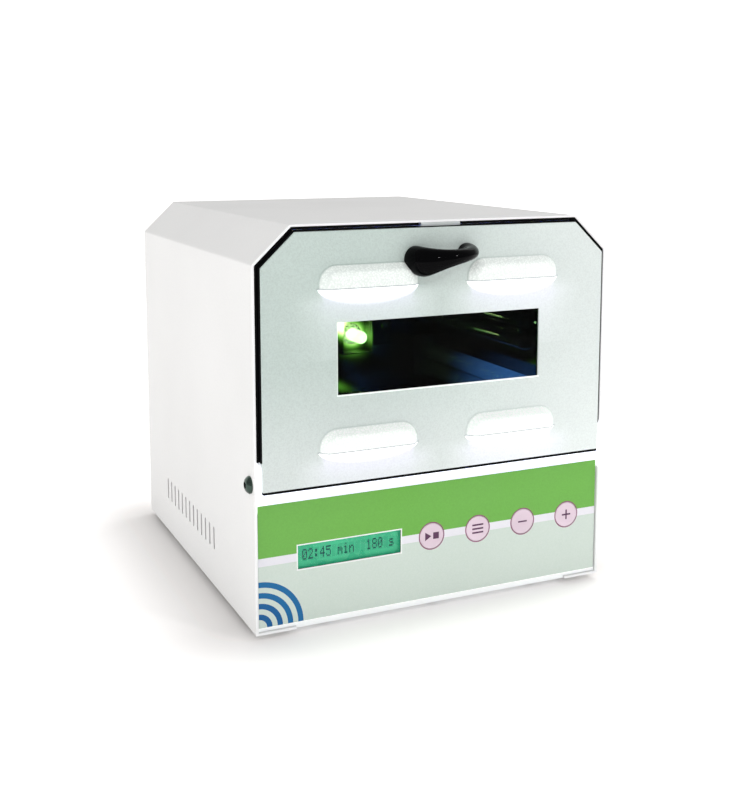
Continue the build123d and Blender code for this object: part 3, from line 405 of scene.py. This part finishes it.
# painted glow of the bulb's light on the bracket: emission patches centred near the bulb
painted_bracket_glow = bk.math("ADD", patch(bk, x, z, 0.0262, 0.1350, 28e-6), bk.math("MULTIPLY", patch(bk, x, z, 0.0145, 0.1440, 30e-6), 0.8))
painted_bracket_glow = bk.math("MULTIPLY", painted_bracket_glow, bk.math("LESS_THAN", y, (SY + 188.85) / 1000))
bk.set(Base_Color=bk.mix(bk.map(bn, 0.3, 0.7, 0.0, 1.0), (0.05, 0.055, 0.05), (0.08, 0.085, 0.08)), Metallic=1.0, Roughness=bk.map(bn, 0.3, 0.7, 0.25, 0.4),
       Emission_Color=bk.mix(bk.map(painted_bracket_glow, 0.015, 0.16, 0.0, 1.0), (0.60, 1.0, 0.18), (1.0, 0.62, 0.50)),
       Emission_Strength=bk.math("MULTIPLY", painted_bracket_glow, 420.0))
bk.bump(bn, 0.1, 0.00003)

pink = plastic("button_pink", (0.745, 0.60, 0.69), 0.42, 0.0, 0.1)
mauve = plastic("button_print", (0.09, 0.02, 0.075), 0.45)
outline_m = plastic("button_outline", (0.30, 0.07, 0.17), 0.45)
gloss_black = plastic("handle_black", (0.0012, 0.0012, 0.0015), 0.08, 0.0, 0.02, 250.0, 0.045)
black = plastic("black_plastic", (0.018, 0.018, 0.02), 0.42, 0.0, 0.12, 900.0, 0.3)
seal = rubber("seal_rubber", (0.003, 0.003, 0.0035), 0.62, 0.06)
foot = rubber("foot_rubber", (0.02, 0.02, 0.021), 0.75, 0.3)
zinc = metal("zinc_plate", (0.62, 0.63, 0.64), 0.28)
steel = metal("brushed_sheet", (0.60, 0.61, 0.62), 0.32, (1.0, 0.06, 1.0))
chrome = metal("bright_screw", (0.72, 0.73, 0.74), 0.12)
pivot_metal = metal("pivot_screw", (0.065, 0.095, 0.08), 0.2)
alu = metal("aluminium_sheet", (0.66, 0.67, 0.68), 0.34, (0.06, 1.0, 1.0))
galv = galvanised("galvanised_sheet")
grey_paint = powder("tray_powder", (0.52, 0.53, 0.54), 0.5)
white_plastic = plastic("white_plastic", (0.72, 0.72, 0.70), 0.45)
ceramic = plastic("ceramic", (0.76, 0.74, 0.68), 0.6, 0.0, 0.3, 500.0)


def paint_spill_glow(m, z_from, z_to, strength):
    """Painted glow: lamp light painted as emission on the sill under the door, and a painted highlight along the
    bottom strip.
    """
    x, y, z = m.xyz()
    painted_sill_glow = m.math("MULTIPLY", m.map(z, (z_from + SZ) / 1000, (z_from + SZ + 1.0) / 1000, 0.0, 1.0), m.map(z, (z_to + SZ - 1.0) / 1000, (z_to + SZ) / 1000, 1.0, 0.0))
    painted_strip_highlight = m.math("LESS_THAN", z, (3.5 + SZ) / 1000)
    m.set(Emission_Color=(0.93, 0.95, 1.0), Emission_Strength=m.math("ADD", m.math("MULTIPLY", painted_sill_glow, strength), m.math("MULTIPLY", painted_strip_highlight, 0.2)))
    return m


panel_paint = paint_spill_glow(powder("panel_powder", (0.80, 0.82, 0.82), 0.48), 69.5, 90.0, 0.75)

pcb = Mat("circuit_board")
x, y, z = pcb.xyz()
pv = pcb.voronoi(260.0, pcb.scaled(1.0, 0.0, 1.0), "DISTANCE_TO_EDGE")
pn = pcb.noise(500.0, 2.0)
pcol = pcb.mix(pcb.math("LESS_THAN", pv, 0.10), (0.012, 0.13, 0.05), (0.03, 0.23, 0.09))
pcb.set(Base_Color=pcb.mix(pcb.map(pn, 0.55, 0.75, 0.0, 0.5), pcol, (0.4, 0.36, 0.2)), Roughness=pcb.map(pn, 0.3, 0.7, 0.3, 0.45))
pcb.bump(pv, 0.1, 0.00005)

USE = {
    "outer_cover": cover, "base_tray": grey_paint, "front_panel": panel_paint, "control_overlay": om, "display_window": clear,
    "display_module": black, "display_glass": lm, "control_board": pcb, "standoffs": zinc, "board_components": black,
    "chamber_front_frame": paint_spill_glow(powder("frame_powder", (0.82, 0.83, 0.84), 0.45), 69.0, 96.0, 0.8), "chamber_floor": mirror, "chamber_sides": side_mirror, "chamber_ceiling": mirror,
    "chamber_back": mb, "chamber_supports": galv, "tube_lamps": tube, "lamp_caps": zinc, "lamp_holders": plastic("holder_plastic", (0.16, 0.16, 0.17), 0.5),
    "halogen_bulb": bulb, "bulb_socket": ceramic, "bulb_bracket": bk, "bulb_screws": zinc, "turntable_bush": white_plastic,
    "turntable_motor": zinc, "power_supply": alu, "ballasts": powder("ballast_powder", (0.70, 0.70, 0.68), 0.4), "rear_panel": cover,
    "fan_frame": black, "fan_guard": chrome, "rear_screws": zinc, "mains_inlet": black, "power_switch_body": black,
    "door_seal": seal, "door_catch": plastic("catch_plastic", (0.62, 0.66, 0.66), 0.4), "door_sensor": white_plastic, "feet": foot,
    "base_screws": zinc, "pivot_screws": pivot_metal, "pivot_nuts": zinc,
    "door_panel": dm, "door_edge_seal": seal, "hinge_ears": paint_spill_glow(powder("ear_powder", (0.80, 0.81, 0.84), 0.45), 76.0, 104.0, 0.6), "window_gasket": seal, "window_filter": filt,
    "window_retainer": steel, "door_inner_panel": mirror, "door_spacers": zinc, "door_inner_screws": zinc, "strike_plate": steel,
    "door_handle": gloss_black, "handle_screws": zinc,
    "start_button": pink, "menu_button": pink, "minus_button": pink, "plus_button": pink,
    "turntable_plate": metal("turntable_sheet", (0.66, 0.68, 0.67), 0.34, (1, 1, 1), 0.1), "turntable_shaft": zinc, "fan_rotor": plastic("fan_plastic", (0.025, 0.025, 0.028), 0.38), "power_rocker": plastic("rocker_plastic", (0.02, 0.02, 0.022), 0.3),
}
for n, o in NODES.items():
    assign(o, USE[n])


# ---------------------------------------------------------------- thin printed pieces
def prisms(name, polys, y0, y1, mat, body, bevel=0.0):
    """Flat shapes in the x, z plane (mm, drawing coordinates), extruded from y0 to y1."""
    bm = bmesh.new()
    for poly in polys:
        f = [bm.verts.new(P(a, y0, b)) for a, b in poly]
        k = [bm.verts.new(P(a, y1, b)) for a, b in poly]
        n = len(poly)
        bm.faces.new(f)
        bm.faces.new(list(reversed(k)))
        for i in range(n):
            bm.faces.new((f[i], k[i], k[(i + 1) % n], f[(i + 1) % n]))
    bmesh.ops.recalc_face_normals(bm, faces=bm.faces)
    me = bpy.data.meshes.new(name)
    bm.to_mesh(me)
    bm.free()
    o = bpy.data.objects.new(name, me)
    bpy.context.scene.collection.objects.link(o)
    assign(o, mat)
    if bevel:
        b = o.modifiers.new("bevel", "BEVEL")
        b.width = bevel / 1000
        b.segments = 2
    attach(o, body)
    return o


def ring(name, cx, cz, r0, r1, y0, y1, mat, body, seg=72):
    """Flat ring in the x, z plane."""
    bm = bmesh.new()
    loops = []
    for r, yy in ((r0, y0), (r1, y0), (r1, y1), (r0, y1)):
        loops.append([bm.verts.new(P(cx + r * math.cos(2 * math.pi * i / seg), yy, cz + r * math.sin(2 * math.pi * i / seg))) for i in range(seg)])
    for a in range(4):
        p, q = loops[a], loops[(a + 1) % 4]
        for i in range(seg):
            bm.faces.new((p[i], q[i], q[(i + 1) % seg], p[(i + 1) % seg]))
    bmesh.ops.recalc_face_normals(bm, faces=bm.faces)
    for f in bm.faces:
        f.smooth = False
    me = bpy.data.meshes.new(name)
    bm.to_mesh(me)
    bm.free()
    o = bpy.data.objects.new(name, me)
    bpy.context.scene.collection.objects.link(o)
    assign(o, mat)
    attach(o, body)
    return o


def rect(x0, z0, x1, z1):
    return [(x0, z0), (x1, z0), (x1, z1), (x0, z1)]


# outlines round the four keys
for n, bx in BTN.items():
    ring("outline_" + n, bx, BTN_Z, 8.0, 8.5, 1.44, 1.5, outline_m, "housing")

FY0, FY1 = 1.19, 1.25
bx = BTN["start_button"]
prisms("print_start", [[(bx - 4.4, BTN_Z - 2.6), (bx - 4.4, BTN_Z + 2.6), (bx - 0.4, BTN_Z)], rect(bx + 0.9, BTN_Z - 2.0, bx + 4.7, BTN_Z + 2.0)], FY0, FY1, mauve, "start_button")
bx = BTN["menu_button"]
prisms("print_menu", [rect(bx - 3.8, BTN_Z + d - 0.5, bx + 3.8, BTN_Z + d + 0.5) for d in (-2.4, 0.0, 2.4)], FY0, FY1, mauve, "menu_button")
bx = BTN["minus_button"]
prisms("print_minus", [rect(bx - 3.1, BTN_Z - 0.45, bx + 3.1, BTN_Z + 0.45)], FY0, FY1, mauve, "minus_button")
bx = BTN["plus_button"]
w, a = 3.1, 0.5
prisms("print_plus", [[(bx - w, BTN_Z - a), (bx - a, BTN_Z - a), (bx - a, BTN_Z - w), (bx + a, BTN_Z - w), (bx + a, BTN_Z - a), (bx + w, BTN_Z - a),
                       (bx + w, BTN_Z + a), (bx + a, BTN_Z + a), (bx + a, BTN_Z + w), (bx - a, BTN_Z + w), (bx - a, BTN_Z + a), (bx - w, BTN_Z + a)]], FY0, FY1, mauve, "plus_button")

# dot-matrix characters of the display
GLYPH = {
    "0": "01110 10001 10011 10101 11001 10001 01110", "1": "00100 01100 00100 00100 00100 00100 01110", "2": "01110 10001 00001 00010 00100 01000 11111",
    "4": "00010 00110 01010 10010 11111 00010 00010", "5": "11111 10000 11110 00001 00001 10001 01110", "8": "01110 10001 10001 01110 10001 10001 01110",
    ":": "00000 01100 01100 00000 01100 01100 00000", "m": "00000 00000 11010 10101 10101 10001 10001", "i": "00100 00000 01100 00100 00100 00100 01110",
    "n": "00000 00000 10110 11001 10001 10001 10001", "s": "00000 00000 01110 10000 01110 00001 11110", " ": "00000 00000 00000 00000 00000 00000 00000"}
dots = []
pitch, px, pz = 3.62, 0.60, 0.90
for i, ch in enumerate("02:45 min  180 s"):
    for r, row in enumerate(GLYPH[ch].split()):
        for c, bit in enumerate(row):
            if bit == "1":
                x0 = LCD_X0 + 3.5 + i * pitch + c * px
                z1 = 44.7 - r * pz
                dots.append(rect(x0, z1 - pz * 0.93, x0 + px * 0.94, z1))
prisms("display_characters", dots, 3.90, 3.97, ink, "housing")

# ---------------------------------------------------------------- floor, light, camera
fl = bpy.data.meshes.new("floor")
bm = bmesh.new()
prof = [(-3.0, 0.0), (2.2, 0.0)] + [(2.2 + 1.6 * math.sin(a), 1.6 - 1.6 * math.cos(a)) for a in [math.radians(6 * k) for k in range(1, 16)]] + [(3.8, 5.0)]
rows = [[bm.verts.new((sx * 6.0, yy, zz)) for sx in (-1, 1)] for yy, zz in prof]
for a, b in zip(rows, rows[1:]):
    bm.faces.new((a[0], a[1], b[1], b[0]))
bm.to_mesh(fl)
bm.free()
for p in fl.polygons:
    p.use_smooth = True
floor = bpy.data.objects.new("floor", fl)
bpy.context.scene.collection.objects.link(floor)
fm = Mat("floor_pale_painted_shadow")
fn = fm.noise(3.0, 2.0)
x, y, z = fm.xyz()
# painted shadow: the floor's emission is low next to the unit's footprint and rises within 75 mm, with a slow
# further rise far out
ex = fm.math("MAXIMUM", fm.math("SUBTRACT", fm.math("ABSOLUTE", x), 0.112), 0.0)
ey = fm.math("MAXIMUM", fm.math("SUBTRACT", fm.math("ABSOLUTE", fm.math("SUBTRACT", y, 0.023)), 0.107), 0.0)
off = fm.math("SQRT", fm.math("ADD", fm.math("MULTIPLY", ex, ex), fm.math("MULTIPLY", ey, ey)))
floor_emission_painted_shadow = fm.math("ADD", fm.map(off, 0.0, 0.075, 0.02, 0.48, True), fm.map(off, 0.3, 1.8, 0.0, 0.16, True))
fm.set(Base_Color=fm.mix(fm.map(fn, 0.3, 0.7, 0.0, 1.0), (0.87, 0.85, 0.838), (0.89, 0.87, 0.858)), Roughness=0.8, Emission_Color=(1.0, 1.0, 1.0), Emission_Strength=floor_emission_painted_shadow)
fm.set(Specular_IOR_Level=0.1)
assign(floor, fm)

world = bpy.data.worlds.new("studio")
bpy.context.scene.world = world
world.use_nodes = True
bgn = world.node_tree.nodes["Background"]
bgn.inputs[0].default_value = (1.0, 1.0, 1.0, 1.0)
seen = world.node_tree.nodes.new("ShaderNodeLightPath").outputs["Is Camera Ray"]
level = world.node_tree.nodes.new("ShaderNodeMath")
level.operation = "MULTIPLY_ADD"
world.node_tree.links.new(seen, level.inputs[0])
level.inputs[1].default_value, level.inputs[2].default_value = 0.60, 0.44
world.node_tree.links.new(level.outputs[0], bgn.inputs[1])


def area(name, loc, target, size, power, col=(1, 1, 1)):
    d = bpy.data.lights.new(name, "AREA")
    d.shape = "RECTANGLE"
    d.size, d.size_y = size
    d.energy = power
    d.color = col
    o = bpy.data.objects.new(name, d)
    bpy.context.scene.collection.objects.link(o)
    o.location = loc
    o.rotation_euler = (Vector(target) - Vector(loc)).to_track_quat("-Z", "Y").to_euler()
    o.visible_glossy = False
    return o


area("key_top", (1.15, 0.40, 2.65), (0, 0, 0.10), (1.0, 1.0), 21.0)
area("key_left", (-1.9, -0.22, 0.16), (0, 0, 0.12), (0.9, 0.25), 9.5)
area("fill_right", (0.62, -0.85, 0.16), (0.05, -0.11, 0.13), (0.4, 0.3), 1.0)
area("rim_right", (1.6, -0.15, 0.45), (0.1, -0.05, 0.15), (0.5, 0.5), 2.0)


def glint(name, loc, radius, power):
    d = bpy.data.lights.new(name, "POINT")
    d.shadow_soft_size = radius
    d.energy = power
    o = bpy.data.objects.new(name, d)
    bpy.context.scene.collection.objects.link(o)
    o.location = loc


glint("glint_left", (-0.35, -0.75, 0.62), 0.025, 3.2)
glint("glint_right", (0.30, -0.70, 0.60), 0.025, 3.2)

cam = bpy.data.cameras.new("camera")
cam.sensor_width = 36.0
cam.sensor_fit = "AUTO"
cam.lens = 1147.3 / 800 * 36.0
cam.shift_x = 0.0
cam.shift_y = -0.14
cam.dof.use_dof = False
cam.clip_start, cam.clip_end = 0.02, 60.0
co = bpy.data.objects.new("camera", cam)
bpy.context.scene.collection.objects.link(co)
co.location = P(-307.1, -580.3, 275.9)
yaw, pitch = math.radians(24.585), math.radians(7.505)
co.rotation_euler = (math.pi / 2 - pitch, 0.0, -yaw)
bpy.context.scene.camera = co
bpy.context.scene.view_settings.view_transform = "Standard"
